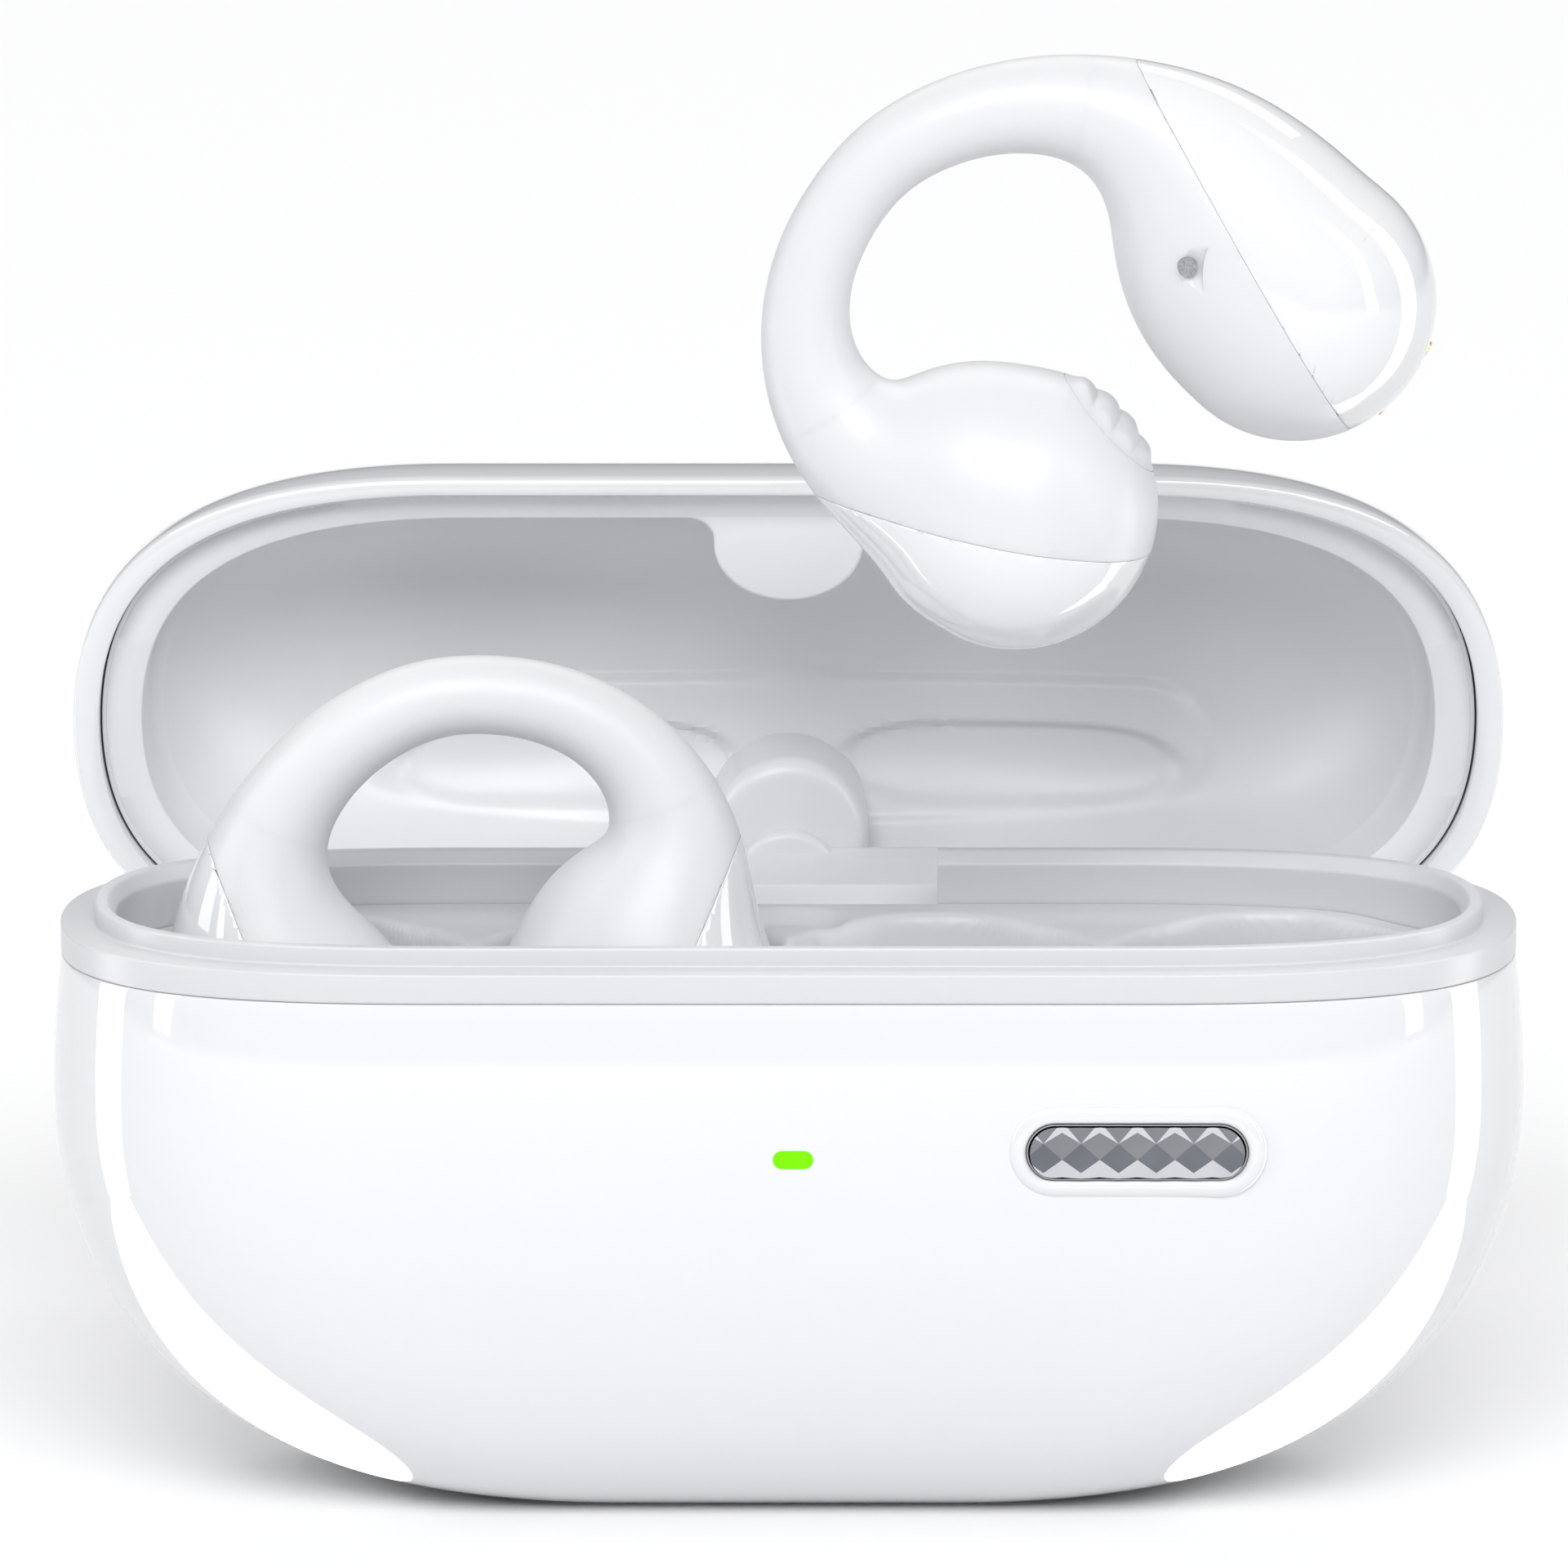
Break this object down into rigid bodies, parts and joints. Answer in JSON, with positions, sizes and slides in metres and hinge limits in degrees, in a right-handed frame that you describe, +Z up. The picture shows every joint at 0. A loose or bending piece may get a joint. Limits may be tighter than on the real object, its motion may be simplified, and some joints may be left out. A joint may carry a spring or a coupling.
{
  "type": "wireless earbuds case",
  "caption": "Pebble-shaped charging case with a hinged lid, round cradle wells and a pairing button, and the C-shaped clip earbuds that it charges.",
  "frame": {"origin": "middle of the flat underside of the case", "axes": "+X to the right and +Y to the back (hinge side) as seen from the front, +Z up"},
  "size_m": [0.066, 0.0425, 0.0665],
  "materials": {
    "gloss_white": "high-gloss moulded polycarbonate",
    "satin_white": "fine satin moulded plastic",
    "soft_white": "matte liquid silicone over a spring wire",
    "satin_grey": "satin cool-grey moulded plastic",
    "spring_steel": "bright drawn steel",
    "hinge_metal": "bead-blasted cast metal",
    "green_light": "clear lens lit green",
    "faceted_silver": "vacuum-plated silver facets",
    "bezel_chrome": "thin dark plated frame",
    "board_green": "green solder mask",
    "chip_black": "black epoxy",
    "mesh_dark": "fine woven mesh",
    "cell_foil": "foil pouch and steel can",
    "foam_dark": "closed-cell foam",
    "seal_rubber": "dark soft rubber",
    "magnet_nickel": "nickel plate",
    "contact_gold": "gold plate"
  },
  "bodies": {
    "case_base": {"base_shell": "gloss_white", "battery": "cell_foil", "battery_pad": "foam_dark", "board_chips": "chip_black", "board_screws": "spring_steel", "button_bezel": "bezel_chrome", "button_switch": "chip_black", "catch_magnet": "magnet_nickel", "cradle_magnets": "magnet_nickel", "cradle_tray": "satin_grey", "front_board": "board_green", "hinge_bracket": "hinge_metal", "hinge_pin": "spring_steel", "led_lens": "green_light", "left_pin_block": "chip_black", "main_board": "board_green", "right_pin_block": "chip_black", "rim_frame": "satin_grey", "status_led": "green_light", "usb_c_port": "spring_steel", "usb_c_tongue": "chip_black"},
    "lid": {"lid_shell": "gloss_white", "lid_liner": "satin_grey", "lid_seal": "seal_rubber", "lid_magnet": "magnet_nickel", "lid_hinge_arm": "hinge_metal"},
    "left_earbud": {"left_ball_cap": "gloss_white", "left_ball_housing": "satin_white", "left_bean_cap": "gloss_white", "left_bean_housing": "satin_white", "left_bridge": "soft_white", "left_bridge_wire": "spring_steel", "left_cell_pad": "foam_dark", "left_coin_cell": "cell_foil", "left_contacts": "contact_gold", "left_earbud_board": "board_green", "left_earbud_magnet": "magnet_nickel", "left_mic_mesh": "mesh_dark", "left_speaker_driver": "chip_black", "left_speaker_grille": "satin_white"},
    "right_earbud_cell": {"right_coin_cell": "cell_foil", "right_cell_pad": "foam_dark"},
    "right_earbud": {"right_ball_cap": "gloss_white", "right_ball_housing": "satin_white", "right_bean_cap": "gloss_white", "right_bean_housing": "satin_white", "right_bridge": "soft_white", "right_bridge_wire": "spring_steel", "right_contacts": "contact_gold", "right_earbud_board": "board_green", "right_earbud_magnet": "magnet_nickel", "right_mic_mesh": "mesh_dark", "right_speaker_driver": "chip_black", "right_speaker_grille": "satin_white"},
    "button": {"button_cap": "faceted_silver"},
    "left_pins": {"left_charging_pins": "contact_gold"},
    "right_pins": {"right_charging_pins": "contact_gold"}
  },
  "joints": [
    {"name": "lid_hinge", "type": "hinge", "parent": "case_base", "child": "lid", "pos_m": [0, 0.0096, 0.0219], "axis": [1, 0, 0], "range_deg": [0, 90]},
    {"name": "left_earbud_lift", "type": "slide", "parent": "case_base", "child": "left_earbud", "axis": [0, 0, -1], "range_m": [-0.022, 0]},
    {"name": "right_earbud_lift", "type": "slide", "parent": "case_base", "child": "right_earbud_cell", "axis": [0.0195, 0.2241, -0.9744], "range_m": [0, 0.03849]},
    {"name": "right_earbud_turn", "type": "hinge", "parent": "right_earbud_cell", "child": "right_earbud", "pos_m": [0.02083, -0.00863, 0.05667], "axis": [0, 1, 0], "range_deg": [0, 54.1]},
    {"name": "button_press", "type": "slide", "parent": "case_base", "child": "button", "axis": [0, 1, 0], "range_m": [0, 0.0003], "stiffness_N_per_m": 400},
    {"name": "left_pins_press", "type": "slide", "parent": "case_base", "child": "left_pins", "axis": [0, 0, -1], "range_m": [0, 0.0004], "stiffness_N_per_m": 300},
    {"name": "right_pins_press", "type": "slide", "parent": "case_base", "child": "right_pins", "axis": [0, 0, -1], "range_m": [0, 0.0004], "stiffness_N_per_m": 300}
  ],
  "couplings": [
    {"joint": "right_earbud_turn", "follows": "right_earbud_lift", "rad_per_m": 24.489}
  ]
}
